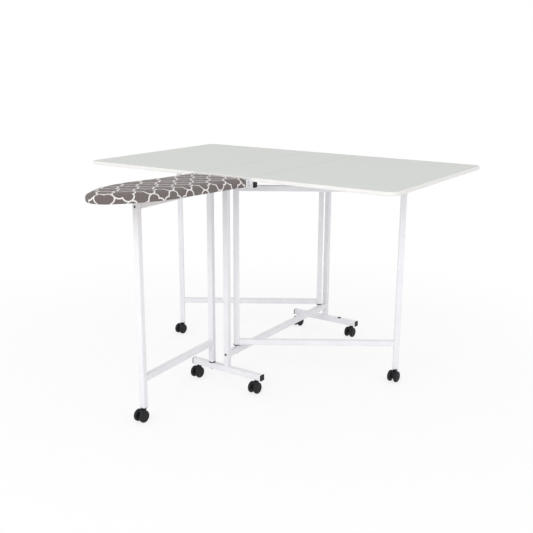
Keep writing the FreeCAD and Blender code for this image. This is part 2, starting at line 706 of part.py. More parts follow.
# ---- ironing board ----------------------------------------------------------------
def board_outline(inset, z):
    """Plan outline of the board: straight sides, long side arcs and a round nose."""
    half = BOARD_HALF_WIDTH - inset
    side_radius = BOARD_SIDE_RADIUS - inset
    rear_radius = BOARD_REAR_RADIUS - inset
    rear = BOARD_REAR_Y - inset
    shoulder = BOARD_REAR_Y - BOARD_LENGTH + BOARD_TAPER
    centre_x = BOARD_SIDE_RADIUS - BOARD_HALF_WIDTH
    nose_radius = BOARD_SIDE_RADIUS ** 2 - centre_x ** 2 - BOARD_TAPER ** 2
    nose_radius /= 2 * (BOARD_SIDE_RADIUS - BOARD_TAPER)
    nose_y = shoulder - BOARD_TAPER + nose_radius
    aim = Vector(centre_x, nose_y - shoulder, 0).normalize()
    joint = Vector(0, nose_y, 0) + aim * (nose_radius - inset)
    sweep = math.atan2(-aim.y, aim.x) / 2
    on_side = Vector(half - side_radius + side_radius * math.cos(sweep),
                     shoulder - side_radius * math.sin(sweep), 0)
    tip = Vector(0, nose_y - nose_radius + inset, 0)
    slant = rear_radius * (1 - math.sqrt(0.5))
    corner = Vector(half - slant, rear - slant, 0)
    points = {
        "rear": Vector(half - rear_radius, rear, 0),
        "side": Vector(half, rear - rear_radius, 0),
        "shoulder": Vector(half, shoulder, 0),
    }

    def other(point):
        return Vector(-point.x, point.y, 0)

    edges = [
        Part.Arc(points["rear"], corner, points["side"]),
        Part.LineSegment(points["side"], points["shoulder"]),
        Part.Arc(points["shoulder"], on_side, joint),
        Part.Arc(joint, tip, other(joint)),
        Part.Arc(other(joint), other(on_side), other(points["shoulder"])),
        Part.LineSegment(other(points["shoulder"]), other(points["side"])),
        Part.Arc(other(points["side"]), other(corner), other(points["rear"])),
        Part.LineSegment(other(points["rear"]), points["rear"]),
    ]
    wire = Part.Wire([edge.toShape() for edge in edges])
    wire.translate(Vector(0, 0, z))
    return wire


def board_slab(inset, z0, z1):
    return Part.Face(board_outline(inset, z0)).extrude(Vector(0, 0, z1 - z0))


def edges_at(shape, z):
    """Edges that lie wholly at one height."""
    return [e for e in shape.Edges if abs(e.BoundBox.ZMin - z) < 1e-4 and abs(e.BoundBox.ZMax - z) < 1e-4]


def ironing_board_pad():
    """Pad and cover: thick on top of the panel, with a skirt round its edge."""
    shape = board_slab(0, BOARD_UNDERSIDE, BOARD_TOP)
    shape = shape.makeFillet(PAD_TOP_ROUND, edges_at(shape, BOARD_TOP))
    shape = shape.makeFillet(PAD_HEM_ROUND, edges_at(shape, BOARD_UNDERSIDE))
    pocket = board_slab(SKIRT - PLUG_SLACK, BOARD_UNDERSIDE - 1, BOARD_UNDERSIDE + PANEL_THICKNESS)
    return shape.cut(pocket)


def board_hinge_arm():
    """Right-hand arm: a lug beside the pad and a flange under the panel."""
    y, z = BOARD_PIVOT_Y, BOARD_PIVOT_HEIGHT
    bottom = BOARD_UNDERSIDE - LUG_SHEET
    outer = LUG_INNER_X + LUG_SHEET
    lug = cylinder(LUG_RADIUS, Vector(LUG_INNER_X, y, z), LUG_SHEET, X_AXIS)
    rear = y - LUG_FLANGE_OFFSET
    lug = lug.fuse(box(LUG_INNER_X, outer, y - LUG_RADIUS, rear, bottom, z))
    flange = box(outer - LUG_FLANGE_WIDTH, outer, rear - LUG_FLANGE_LENGTH, rear, bottom,
                 BOARD_UNDERSIDE)
    bore_start = Vector(LUG_INNER_X - 1, y, z)
    bore = cylinder(BOARD_PIN_RADIUS + RUNNING_FIT, bore_start, LUG_SHEET + 2, X_AXIS)
    return lug.fuse(flange).cut(bore).removeSplitter()


def tilted(shape):
    """Turn a board piece up about its hinge to the board's slope in use."""
    shape.rotate(Vector(0, BOARD_PIVOT_Y, BOARD_PIVOT_HEIGHT), X_AXIS, -BOARD_TILT)
    return shape


def board_hinge_bracket():
    """Right-hand bracket: foot under the tabletop, front plate and forward ear."""
    rear_y = BRACKET_FRONT_Y + BRACKET_SHEET
    inner_x = EAR_OUTER_X - BRACKET_WIDTH
    bottom = BOARD_TOP - BRACKET_TALL
    y, z = BOARD_PIVOT_Y, BOARD_PIVOT_HEIGHT
    plate = box(inner_x, EAR_OUTER_X, BRACKET_FRONT_Y, rear_y, bottom, BOARD_TOP)
    foot_outer_x = CROSSBAR_LENGTH / 2
    foot_sheet = box(inner_x, foot_outer_x, rear_y, NEAR_POST_Y + TUBE / 2,
                     TOP_UNDERSIDE - BRACKET_SHEET, TOP_UNDERSIDE)
    ear = box(EAR_INNER_X, EAR_OUTER_X, y, BRACKET_FRONT_Y, z - EAR_RADIUS, z + EAR_RADIUS)
    ear = ear.fuse(cylinder(EAR_RADIUS, Vector(EAR_INNER_X, y, z), BRACKET_SHEET, X_AXIS))
    bore_start = Vector(EAR_INNER_X - 1, y, z)
    bore = cylinder(BOARD_PIN_RADIUS + RUNNING_FIT, bore_start, BRACKET_SHEET + 2, X_AXIS)
    return plate.fuse([foot_sheet, ear]).cut(bore).removeSplitter()


def board_pivot_pin():
    """Right-hand rivet through the bracket's ear and the arm's lug."""
    start = Vector(LUG_INNER_X + RUNNING_FIT, BOARD_PIVOT_Y, BOARD_PIVOT_HEIGHT)
    shank = cylinder(BOARD_PIN_RADIUS, start, EAR_OUTER_X - start.x, X_AXIS)
    head_start = Vector(EAR_OUTER_X, BOARD_PIVOT_Y, BOARD_PIVOT_HEIGHT)
    head = cylinder(BOARD_PIN_HEAD_RADIUS, head_start, BOARD_PIN_HEAD, X_AXIS)
    rim = [e for e in head.Edges if abs(e.CenterOfMass.x - EAR_OUTER_X - BOARD_PIN_HEAD) < 1e-6]
    return shank.fuse(head.makeFillet(BOARD_PIN_HEAD / 2, rim))


def ironing_board():
    arm, bracket, pin = tilted(board_hinge_arm()), board_hinge_bracket(), board_pivot_pin()
    panel = board_slab(SKIRT, BOARD_UNDERSIDE, BOARD_UNDERSIDE + PANEL_THICKNESS)
    return {
        "ironing_board_panel": tilted(panel),
        "ironing_board_pad": tilted(ironing_board_pad()),
        "board_hinge_arms": [arm, mirrored_x(arm)],
        "board_hinge_brackets": [bracket, mirrored_x(bracket)],
        "board_pivot_pins": [pin, mirrored_x(pin)],
    }


# ---- whole table ------------------------------------------------------------------
def build():
    nodes = {}
    for section in (tabletop, hinges, centre_frame, gates, casters, ironing_board):
        nodes.update(section())
    for name, shapes in nodes.items():
        if not isinstance(shapes, list):
            nodes[name] = [shapes]
    return nodes


def export(nodes):
    """Write one STEP file per node, with the origin under the middle of the table."""
    nose = nodes["ironing_board_pad"][0].optimalBoundingBox().YMin
    middle = (nose + TOP_DEPTH / 2) / 2
    os.makedirs("parts", exist_ok=True)
    for name, shapes in nodes.items():
        moved = []
        for shape in shapes:
            copy = shape.copy()
            copy.translate(Vector(0, -middle, 0))
            moved.extend(copy.Solids)
        whole = moved[0] if len(moved) == 1 else Part.makeCompound(moved)
        whole.exportStep("parts/" + name + ".step")
    print("nodes", len(nodes), "middle", round(middle, 3))


export(build())
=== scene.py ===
import json
import math

import bpy
import bmesh
from mathutils import Matrix, Vector

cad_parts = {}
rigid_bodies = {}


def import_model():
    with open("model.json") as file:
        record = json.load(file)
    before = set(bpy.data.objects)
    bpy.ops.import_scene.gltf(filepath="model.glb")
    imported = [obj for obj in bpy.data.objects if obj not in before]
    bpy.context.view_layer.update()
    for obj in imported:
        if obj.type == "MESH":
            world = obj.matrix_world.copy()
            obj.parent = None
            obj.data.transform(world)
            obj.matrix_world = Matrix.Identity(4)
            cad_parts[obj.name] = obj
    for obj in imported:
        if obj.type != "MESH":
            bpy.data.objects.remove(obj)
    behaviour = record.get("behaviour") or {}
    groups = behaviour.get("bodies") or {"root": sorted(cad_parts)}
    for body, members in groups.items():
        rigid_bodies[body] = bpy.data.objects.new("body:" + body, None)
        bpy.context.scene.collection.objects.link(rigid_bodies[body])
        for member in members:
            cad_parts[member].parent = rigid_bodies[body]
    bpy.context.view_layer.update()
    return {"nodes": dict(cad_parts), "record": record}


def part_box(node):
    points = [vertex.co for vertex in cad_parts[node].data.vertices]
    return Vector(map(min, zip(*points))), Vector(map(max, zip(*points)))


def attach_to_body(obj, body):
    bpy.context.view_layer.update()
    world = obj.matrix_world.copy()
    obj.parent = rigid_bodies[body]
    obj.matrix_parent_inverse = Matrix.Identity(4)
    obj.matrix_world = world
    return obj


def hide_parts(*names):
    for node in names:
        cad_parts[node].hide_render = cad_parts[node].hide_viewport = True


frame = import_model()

# ---- sizes repeated from the CAD part, in metres, with y counted from the tabletop's middle ----
NEAR_POST_Y = -0.423
FRAME_SHIFT = -0.008
TUBE = 0.023
TUBE_CORNER = 0.0025
TOP_CORNER = 0.040
SEAM_X = 0.1307
HINGE_Y = (-0.330, -0.146, 0.164)
HINGE_SHEET = 0.0015
IRON_GATE_SKEW = math.radians(3.56)
BOARD_HALF = 0.133
BOARD_REAR_Y = -0.460
BOARD_LENGTH = 0.690
BOARD_TAPER = 0.285
BOARD_SIDE_R = 0.450
BOARD_REAR_R = 0.020
BOARD_UNDER = 0.856
BOARD_PIVOT = (-0.468, 0.876)
BOARD_TILT = math.radians(1.8)
BOARD_FLANGE_INNER_X = 0.1015
BOARD_FLANGE_END_Y = -0.530
PAD_TOP = 0.032
PAD_ROLL_DOWN = 0.015

# ---- sizes of this script's own pieces, in metres ----
# a leaf's rounded edge: inset from the plan, and drop from the face
LEAF_EDGE = ((0.0042, 0.0), (0.0026, 0.0002), (0.0012, 0.0007), (0.0004, 0.0017), (0.0, 0.0032))

# rim of a gate's lower bush: radius, and depth below the end of the post
BUSH_RIM = ((0.0105, 0.0004), (0.0138, 0.0004), (0.0142, 0.0010), (0.0142, 0.0032),
            (0.0136, 0.0040), (0.0105, 0.0040))

WELD_RADIUS = 0.0013
WELD_STAND_OFF = 0.0004
WELD_SWELL = 0.22

# a pan head from its rim to its middle: shares of its radius and of its height
SCREW_PROFILE = ((1.0, 0.0), (1.0, 0.35), (0.93, 0.68), (0.80, 0.88), (0.62, 0.97), (0.5, 1.0),
                 (0.36, 1.0), (0.24, 1.0), (0.13, 1.0))
SCREW_SIDES = 24
CROSS_REACH = 0.55
CROSS_HALF_WIDTH = 0.16
CROSS_FLOOR = 0.45
HINGE_SCREW_FROM_SEAM = 0.018
HINGE_SCREW_FROM_MIDDLE = 0.021
LEG_SCREW_DROP = 0.042

# the cover's hem under the panel, from its inner edge outwards: inset from the plan, and height
PAD_HEM = ((0.0328, -0.0006), (0.0334, -0.0016), (0.0318, -0.0026), (0.0296, -0.0022),
           (0.0284, -0.0010), (0.0240, -0.0006), (0.0180, -0.0006), (0.0120, -0.0006),
           (0.0070, -0.0005), (0.0036, -0.0001), (0.0008, 0.0010))
PAD_SIDE = ((-0.0010, 0.0034), (-0.0020, 0.0070))
PAD_PROUD = 0.0024
PAD_SIDE_TOP = 0.0120
PAD_ROLL_IN = 0.020
PAD_ROLL_STEPS = 8
PAD_TOP_RINGS = (0.06, 0.14, 0.24, 0.36, 0.5, 0.66, 0.84, 1.0)
NOSE_GATHER_LENGTH = 0.06
GATHER_DEPTH = 0.0016
GATHER_PITCH = 0.0135
FLANGE_FADE = 0.008
FLANGE_HEIGHT = -0.0002

# the cover's trellis, on the cloth's flat coordinates; lobe and heart are shares of the period
TRELLIS_PERIOD = 0.0868
TRELLIS_RISE = 0.0841
TRELLIS_TURN = math.radians(83.4)
TRELLIS_OFFSETS = (0.603, 0.695)
TRELLIS_LOBE = 0.243
TRELLIS_HEART = 0.15
TRELLIS_LINE = 0.0025
TRELLIS_SHARPNESS = 1600.0
THREAD_PITCH = 0.0011

# ---- camera, fitted to the photograph, and lamps ----
CAMERA_PLACE = (1.8725, -2.9419, 1.3415)
CAMERA_YAW = math.radians(-33.67)
CAMERA_PITCH = math.radians(14.81)
CAMERA_ROLL = math.radians(0.34)
CAMERA_LENS = 53.776
SENSOR_WIDTH = 36.0
LAMP_TARGET = (0, 0, 0.5)
LAMP_SIZE = 3.0
WORLD_STRENGTH = 0.83
FLOOR_REACH = 30


def shift_y():
    """How far the row frame lies from the tabletop's middle, along Y."""
    low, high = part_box("near_post")
    return (low.y + high.y) / 2 - NEAR_POST_Y


DY = shift_y()


# ---- node helper ---------------------------------------------------------------
class Nodes:
    """Short way to write a material's node tree."""

    def __init__(self, name):
        self.material = bpy.data.materials.new(name)
        self.material.use_nodes = True
        self.tree = self.material.node_tree
        self.bsdf = self.tree.nodes["Principled BSDF"]

    def add(self, kind, inputs=None, **settings):
        node = self.tree.nodes.new("ShaderNode" + kind)
        for key, value in settings.items():
            setattr(node, key, value)
        for key, value in (inputs or {}).items():
            self.put(node.inputs[key], value)
        return node

    def put(self, socket, value):
        if isinstance(value, bpy.types.NodeSocket):
            self.tree.links.new(value, socket)
        elif isinstance(value, tuple) and len(value) == 3 and socket.type == "RGBA":
            socket.default_value = value + (1.0,)
        else:
            socket.default_value = value

    def set(self, **inputs):
        for key, value in inputs.items():
            self.put(self.bsdf.inputs[key.replace("_", " ")], value)

    def math(self, operation, a, b=0.0, c=0.0, clamp=False):
        node = self.add("Math", {0: a, 1: b, 2: c}, operation=operation)
        node.use_clamp = clamp
        return node.outputs[0]

    def objects(self):
        return self.add("TexCoord").outputs["Object"]

    def noise(self, vector, scale, detail=4.0, rough=0.55):
        return self.add("TexNoise", {"Vector": vector, "Scale": scale, "Detail": detail,
                                     "Roughness": rough}).outputs["Fac"]

    def ramp(self, fac, stops):
        node = self.add("ValToRGB", {"Fac": fac})
        ramp = node.color_ramp
        while len(ramp.elements) < len(stops):
            ramp.elements.new(0.5)
        for element, (place, colour) in zip(ramp.elements, stops):
            element.position = place
            element.color = tuple(colour) + (1.0,) if len(colour) == 3 else colour
        return node.outputs["Color"]

    def mix(self, fac, a, b, blend="MIX"):
        node = self.add("Mix", data_type="RGBA", blend_type=blend)
        self.put(node.inputs["Factor"], fac)
        self.put(node.inputs["A"], a)
        self.put(node.inputs["B"], b)
        return node.outputs["Result"]

    def bump(self, height, strength, distance=0.001):
        node = self.add("Bump", {"Height": height, "Strength": strength, "Distance": distance})
        self.put(self.bsdf.inputs["Normal"], node.outputs["Normal"])


# ---- materials ------------------------------------------------------------------
def laminate_material():
    n = Nodes("laminate_grey")
    where = n.objects()
    cloudy = n.noise(where, 9.0, 3.0)
    fleck = n.noise(where, 900.0, 2.0)
    base = n.ramp(cloudy, [(0.3, (0.596, 0.619, 0.583)), (0.7, (0.614, 0.637, 0.601))])
    dots = n.ramp(fleck, [(0.35, (0.96, 0.96, 0.96)), (0.6, (1.0, 1.0, 1.0))])
    rough = n.math("MULTIPLY_ADD", cloudy, 0.12, 0.34)
    n.set(Base_Color=n.mix(1.0, base, dots, "MULTIPLY"), Roughness=rough)
    n.bump(n.noise(where, 420.0, 3.0), 0.05, 0.0004)
    return n.material


def underside_material():
    n = Nodes("panel_underside")
    where = n.objects()
    tone = n.noise(where, 14.0, 3.0)
    colour = n.ramp(tone, [(0.3, (0.70, 0.70, 0.68)), (0.7, (0.76, 0.76, 0.74))])
    n.set(Base_Color=colour, Roughness=n.math("MULTIPLY_ADD", tone, 0.1, 0.5))
    n.bump(n.noise(where, 500.0, 2.0), 0.06, 0.0004)
    return n.material


def band_material():
    n = Nodes("edge_band_white")
    where = n.objects()
    tone = n.noise(where, 30.0, 3.0)
    colour = n.ramp(tone, [(0.3, (0.80, 0.785, 0.765)), (0.7, (0.84, 0.825, 0.805))])
    n.set(Base_Color=colour, Roughness=n.math("MULTIPLY_ADD", tone, 0.12, 0.38))
    n.bump(n.noise(where, 260.0, 2.0), 0.05, 0.0004)
    return n.material


def powder_material():
    n = Nodes("powder_coat_white")
    where = n.objects()
    tone = n.noise(where, 12.0, 3.0)
    colour = n.ramp(tone, [(0.3, (0.80, 0.80, 0.84)), (0.7, (0.85, 0.85, 0.88))])
    n.set(Base_Color=colour, Roughness=n.math("MULTIPLY_ADD", tone, 0.12, 0.33))
    n.bump(n.noise(where, 700.0, 3.0, 0.6), 0.05, 0.0005)
    return n.material


def black_plastic_material():
    n = Nodes("moulded_black")
    where = n.objects()
    tone = n.noise(where, 60.0, 4.0)
    colour = n.ramp(tone, [(0.3, (0.009, 0.010, 0.011)), (0.75, (0.017, 0.018, 0.020))])
    n.set(Base_Color=colour, Roughness=n.math("MULTIPLY_ADD", tone, 0.25, 0.36))
    n.set(Specular_IOR_Level=0.22)
    n.bump(n.noise(where, 1400.0, 2.0), 0.18, 0.0004)
    return n.material


def zinc_material(name="zinc_plate", low=0.50, high=0.66):
    """Plated steel, between two levels of grey."""
    n = Nodes(name)
    where = n.objects()
    brushed = n.add("Mapping", {"Vector": where, "Scale": (3.0, 1.0, 40.0)}).outputs["Vector"]
    tone = n.noise(brushed, 40.0, 4.0)
    spangle = n.noise(where, 120.0, 2.0)
    colour = n.ramp(spangle, [(0.3, (low, low, low)), (0.7, (high, high, high))])
    n.set(Base_Color=colour, Metallic=0.9, Roughness=n.math("MULTIPLY_ADD", tone, 0.3, 0.26))
    n.bump(tone, 0.1, 0.0003)
    return n.material


def chipboard_material():
    n = Nodes("chipboard")
    where = n.objects()
    cells = n.add("TexVoronoi", {"Vector": where, "Scale": 330.0, "Randomness": 1.0})
    tone = n.noise(where, 90.0, 5.0)
    wood = n.ramp(tone, [(0.3, (0.36, 0.25, 0.14)), (0.7, (0.56, 0.42, 0.26))])
    chips = n.mix(0.35, wood, cells.outputs["Color"], "MULTIPLY")
    n.set(Base_Color=chips, Roughness=n.math("MULTIPLY_ADD", tone, 0.2, 0.7))
    n.bump(cells.outputs["Distance"], 0.25, 0.0006)
    return n.material


def cover_material():
    """Woven cover, dark warm grey, with a traditional trellis of touching quatrefoils."""
    n = Nodes("cotton_cover")
    uv = n.add("UVMap", uv_map="cloth").outputs["UV"]
    split = n.add("SeparateXYZ", {"Vector": uv})
    x, y = split.outputs["X"], split.outputs["Y"]
    cos, sin = math.cos(TRELLIS_TURN), math.sin(TRELLIS_TURN)
    u = n.math("ADD", n.math("MULTIPLY", x, cos / TRELLIS_PERIOD),
               n.math("MULTIPLY", y, sin / TRELLIS_PERIOD))
    v = n.math("SUBTRACT", n.math("MULTIPLY", y, cos / TRELLIS_RISE),
               n.math("MULTIPLY", x, sin / TRELLIS_RISE))

    def folded(value, offset):
        part = n.math("FRACT", n.math("ADD", value, offset))
        return n.math("ABSOLUTE", n.math("SUBTRACT", part, 0.5))

    a, b = folded(u, TRELLIS_OFFSETS[0]), folded(v, TRELLIS_OFFSETS[1])
    centre = 0.5 - TRELLIS_LOBE

    def lobe(along, across):
        gap = n.math("SUBTRACT", along, centre)
        square = n.math("ADD", n.math("MULTIPLY", gap, gap), n.math("MULTIPLY", across, across))
        return n.math("SUBTRACT", n.math("SQRT", square), TRELLIS_LOBE)

    square = n.math("ADD", n.math("MULTIPLY", a, a), n.math("MULTIPLY", b, b))
    heart = n.math("SUBTRACT", n.math("SQRT", square), TRELLIS_HEART)
    clover = n.math("MINIMUM", heart, n.math("MINIMUM", lobe(a, b), lobe(b, a)))
    edge = n.math("ABSOLUTE", clover)
    line = n.math("MULTIPLY_ADD", edge, -TRELLIS_PERIOD * TRELLIS_SHARPNESS,
                  TRELLIS_LINE * TRELLIS_SHARPNESS + 0.5, clamp=True)

    def threads(axis):
        wave = n.math("SINE", n.math("MULTIPLY", axis, math.tau / THREAD_PITCH))
        return n.math("MULTIPLY_ADD", wave, 0.5, 0.5)

    weave = n.math("MULTIPLY", threads(x), threads(y))
    stretched = n.add("Mapping", {"Vector": uv, "Scale": (1.0, 6.0, 1.0)}).outputs["Vector"]
    slub = n.noise(stretched, 160.0, 4.0)
    tone = n.noise(uv, 14.0, 3.0)
    dark = n.ramp(tone, [(0.3, (0.158, 0.130, 0.126)), (0.7, (0.190, 0.156, 0.152))])
    pale = n.ramp(tone, [(0.3, (0.84, 0.82, 0.81)), (0.7, (0.90, 0.88, 0.87))])
    cloth = n.mix(line, dark, pale)
    relief = n.math("MULTIPLY_ADD", weave, 0.5, n.math("MULTIPLY", slub, 0.5))
    shading = n.ramp(relief, [(0.1, (0.62, 0.62, 0.62)), (0.7, (1.0, 1.0, 1.0))])
    shaded = n.mix(0.35, cloth, shading, "MULTIPLY")
    n.set(Base_Color=shaded, Roughness=n.math("MULTIPLY_ADD", slub, 0.1, 0.82))
    n.set(Sheen_Weight=0.08, Sheen_Roughness=0.5)
    n.bump(n.math("ADD", weave, n.math("MULTIPLY", slub, 0.8)), 0.25, 0.0004)
    return n.material


LAMINATE = laminate_material()
UNDERSIDE = underside_material()
BAND = band_material()
POWDER = powder_material()
BLACK = black_plastic_material()
ZINC = zinc_material()
DARK_STEEL = zinc_material("dark_steel", 0.14, 0.22)
CHIPBOARD = chipboard_material()
COVER = cover_material()

NODE_MATERIALS = {"white_steel": POWDER, "bracket_steel": POWDER, "zinc_steel": ZINC,
                  "black_plastic": BLACK, "bush_plastic": BLACK, "board_panel": CHIPBOARD,
                  "laminate": LAMINATE, "ironing_cover": COVER}


def dress_cad_nodes():
    """Give every CAD node that stays visible its procedural material."""
    slots = {row["node"]: row["material_slot"] for row in frame["record"]["subparts"]}
    for name, obj in frame["nodes"].items():
        obj.data.materials.clear()
        bolts = name == "frame_bolts"
        obj.data.materials.append(DARK_STEEL if bolts else NODE_MATERIALS[slots[name]])


# ---- mesh helpers ------------------------------------------------------------------
def make_object(name, vertices, faces, materials, smooth_angle=None, indices=None):
    mesh = bpy.data.meshes.new(name)
    mesh.from_pydata([tuple(v) for v in vertices], [], faces)
    for material in materials:
        mesh.materials.append(material)
    if indices:
        mesh.polygons.foreach_set("material_index", indices)
    mesh.update()
    obj = bpy.data.objects.new(name, mesh)
    bpy.context.scene.collection.objects.link(obj)
    if smooth_angle is not None:
        shade(obj, smooth_angle)
    return obj


def shade(obj, degrees):
    """Smooth shading, with edges sharper than the angle kept crisp."""
    bm = bmesh.new()
    bm.from_mesh(obj.data)
    for face in bm.faces:
        face.smooth = True
    for edge in bm.edges:
        edge.smooth = not edge.is_manifold or edge.calc_face_angle(0.0) < math.radians(degrees)
    bm.to_mesh(obj.data)
    bm.free()


def loft(rings, cap_start=False, cap_end=False):
    """Vertices and quads through closed rings of equal length."""
    count = len(rings[0])
    vertices = [v for ring in rings for v in ring]
    faces = []
    for row in range(len(rings) - 1):
        here, above = row * count, (row + 1) * count
        for i in range(count):
            j = (i + 1) % count
            faces.append((here + i, here + j, above + j, above + i))
    if cap_start:
        faces.append(tuple(reversed(range(count))))
    if cap_end:
        last = (len(rings) - 1) * count
        faces.append(tuple(range(last, last + count)))
    return vertices, faces


def extend(vertices, faces, part):
    """Add one part's vertices and faces to the lists of a larger mesh."""
    offset = len(vertices)
    vertices.extend(part[0])
    faces.extend(tuple(offset + i for i in face) for face in part[1])


def attach(piece, body):
    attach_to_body(piece, body)


# ---- tabletop ---------------------------------------------------------------------
def leaf_outline(low, high, corners, inset, steps=14):
    """Plan outline of a leaf, counter-clockwise; corners is "none", "left" or "right"."""
    y0, y1 = low.y + inset, high.y - inset
    left = low.x + (inset if corners == "left" else 0.0)
    right = high.x - (inset if corners == "right" else 0.0)
    radius = TOP_CORNER - inset
    spots = [(left, y0, 180, corners == "left"), (right, y0, 270, corners == "right"),
             (right, y1, 0, corners == "right"), (left, y1, 90, corners == "left")]
    outline = []
    for x, y, start, rounded in spots:
        if not rounded:
            outline.append((x, y))
            continue
        cx = x + radius if x == left else x - radius
        cy = y + radius if y == y0 else y - radius
        for k in range(steps + 1):
            angle = math.radians(start + 90 * k / steps)
            outline.append((cx + radius * math.cos(angle), cy + radius * math.sin(angle)))
    return outline


def leaf(name, corners, body, node):
    """A leaf with a laminate face, a rounded edge band and a paler underside."""
    low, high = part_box(node)
    profile = [(inset, high.z - drop) for inset, drop in LEAF_EDGE]
    profile += [(inset, low.z + drop) for inset, drop in reversed(LEAF_EDGE)]
    rings, outline = [], None
    for inset, z in profile:
        outline = leaf_outline(low, high, corners, inset)
        rings.append([Vector((x, y, z)) for x, y in outline])
    vertices, faces = loft(rings, cap_start=True, cap_end=True)
    seams = {"none": (low.x, high.x), "left": (high.x,), "right": (low.x,)}[corners]
    indices = []
    for row in range(len(rings) - 1):
        for (x0, _), (x1, _) in zip(outline, outline[1:] + outline[:1]):
            indices.append(0 if x0 == x1 and x0 in seams else 1)
    indices += [0, 2]
    faces = [tuple(reversed(face)) for face in faces]
    piece = make_object(name, vertices, faces, [LAMINATE, BAND, UNDERSIDE], 35, indices)
    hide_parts(node)
    attach(piece, body)


def tabletop():
    leaf("centre_top", "none", "table_frame", "centre_leaf")
    leaf("right_top", "right", "right_leaf", "right_leaf")
    leaf("left_top", "left", "left_leaf", "left_leaf")


# ---- welds and screws --------------------------------------------------------------
def square_path(half, corner, corner_steps=4, side_steps=10):
    """Places and normals round a square with rounded corners, counter-clockwise."""
    quarter_turn = math.radians(90)
    signs = ((1, 1), (-1, 1), (-1, -1), (1, -1))

    def on_arc(quarter, angle):
        across, up = signs[quarter % 4]
        cos, sin = math.cos(angle), math.sin(angle)
        return (across * (half - corner) + corner * cos, up * (half - corner) + corner * sin,
                cos, sin)

    path = []
    for quarter in range(4):
        start = math.radians(90 * quarter)
        for k in range(corner_steps + 1):
            path.append(on_arc(quarter, start + quarter_turn * k / corner_steps))
        a0, b0 = path[-1][:2]
        a1, b1, cos, sin = on_arc(quarter + 1, start + quarter_turn)
        for k in range(1, side_steps):
            share = k / side_steps
            path.append((a0 + (a1 - a0) * share, b0 + (b1 - b0) * share, cos, sin))
    return path


def weld_bead(centre, along):
    """Ring of weld round a square tube that butts on a face; along is the tube's direction."""
    side = Vector((-along.y, along.x, 0.0))
    up = Vector((0.0, 0.0, 1.0))
    rings = []
    for index, (a, b, na, nb) in enumerate(square_path(TUBE / 2, TUBE_CORNER)):
        swell = WELD_RADIUS * (1 + WELD_SWELL * math.sin(index * 2.4))
        place = centre + side * a + up * b
        outward = side * na + up * nb
        ring = []
        for k in range(6):
            angle = math.tau * k / 6
            ring.append(place + outward * swell * math.cos(angle) + along * swell * math.sin(angle))
        rings.append(ring)
    rings.append(rings[0])
    return loft(rings)


def gate_welds(gate):
    """Beads where a gate's two rails meet its post and its leg."""
    leg = gate + "_leg"
    post_low, post_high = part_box(gate + "_post")
    leg_low, leg_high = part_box(leg)
    start, end = (post_low + post_high) / 2, (leg_low + leg_high) / 2
    along = Vector((end.x - start.x, end.y - start.y, 0.0)).normalized()
    vertices, faces = [], []
    for rail in (gate + "_top_rail", gate + "_bottom_rail"):
        low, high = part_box(rail)
        height = (low.z + high.z) / 2
        for point, way in ((start, 1), (end, -1)):
            centre = Vector((point.x, point.y, height)) + along * way * (TUBE / 2 + WELD_STAND_OFF)
            extend(vertices, faces, weld_bead(centre, along))
    piece = make_object(gate + "_welds", vertices, faces, [POWDER], 60)
    attach(piece, gate)


def screw_head(centre, normal, radius=0.0034, height=0.0016):
    """Pan head with a cross recess, standing on a face."""
    turn = Vector((0, 0, 1)).rotation_difference(normal)
    rings = []
    for share, lift in SCREW_PROFILE:
        ring = []
        for k in range(SCREW_SIDES):
            angle = math.tau * k / SCREW_SIDES
            x, y = radius * share * math.cos(angle), radius * share * math.sin(angle)
            in_cross = share < CROSS_REACH and min(abs(x), abs(y)) < CROSS_HALF_WIDTH * radius
            z = height * (CROSS_FLOOR if in_cross else lift)
            ring.append(centre + turn @ Vector((x, y, z)))
        rings.append(ring)
    vertices, faces = loft(rings)
    middle = len(vertices)
    vertices = vertices + [centre + turn @ Vector((0, 0, height * CROSS_FLOOR))]
    last = (len(rings) - 1) * SCREW_SIDES
    faces = faces + [(last + k, last + (k + 1) % SCREW_SIDES, middle) for k in range(SCREW_SIDES)]
    return vertices, faces


def hinge_screws():
    """Four screws in each drop-leaf hinge, two on either side of the seam."""
    low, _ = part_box("centre_leaf")
    z = low.z - HINGE_SHEET
    groups = {"table_frame": [], "right_leaf": [], "left_leaf": []}
    for y in HINGE_Y:
        for dy in (-HINGE_SCREW_FROM_MIDDLE, HINGE_SCREW_FROM_MIDDLE):
            for side, body in ((1, "right_leaf"), (-1, "left_leaf")):
                row_y = (y if side > 0 else 2 * FRAME_SHIFT - y) + dy + DY
                inner = side * (SEAM_X - HINGE_SCREW_FROM_SEAM)
                outer = side * (SEAM_X + HINGE_SCREW_FROM_SEAM)
                groups["table_frame"].append(Vector((inner, row_y, z)))
                groups[body].append(Vector((outer, row_y, z)))
    for body, places in groups.items():
        vertices, faces = [], []
        for place in places:
            extend(vertices, faces, screw_head(place, Vector((0, 0, -1))))
        piece = make_object(body + "_hinge_screws", vertices, faces, [ZINC], 35)
        attach(piece, body)


def bush_rim(gate):
    """Rim of the bush that shows below the gate's post, a little wider than the tube."""
    low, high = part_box(gate + "_post")
    middle = (low + high) / 2
    rings = []
    for radius, height in BUSH_RIM:
        ring = []
        for k in range(48):
            angle = math.tau * k / 48
            place = Vector((middle.x, middle.y, low.z - height))
            ring.append(place + Vector((math.cos(angle), math.sin(angle), 0.0)) * radius)
        rings.append(ring)
    rings.append(rings[0])
    vertices, faces = loft(rings)
    piece = make_object(gate + "_bush_rim", vertices, faces, [BLACK], 35)
    attach(piece, gate)


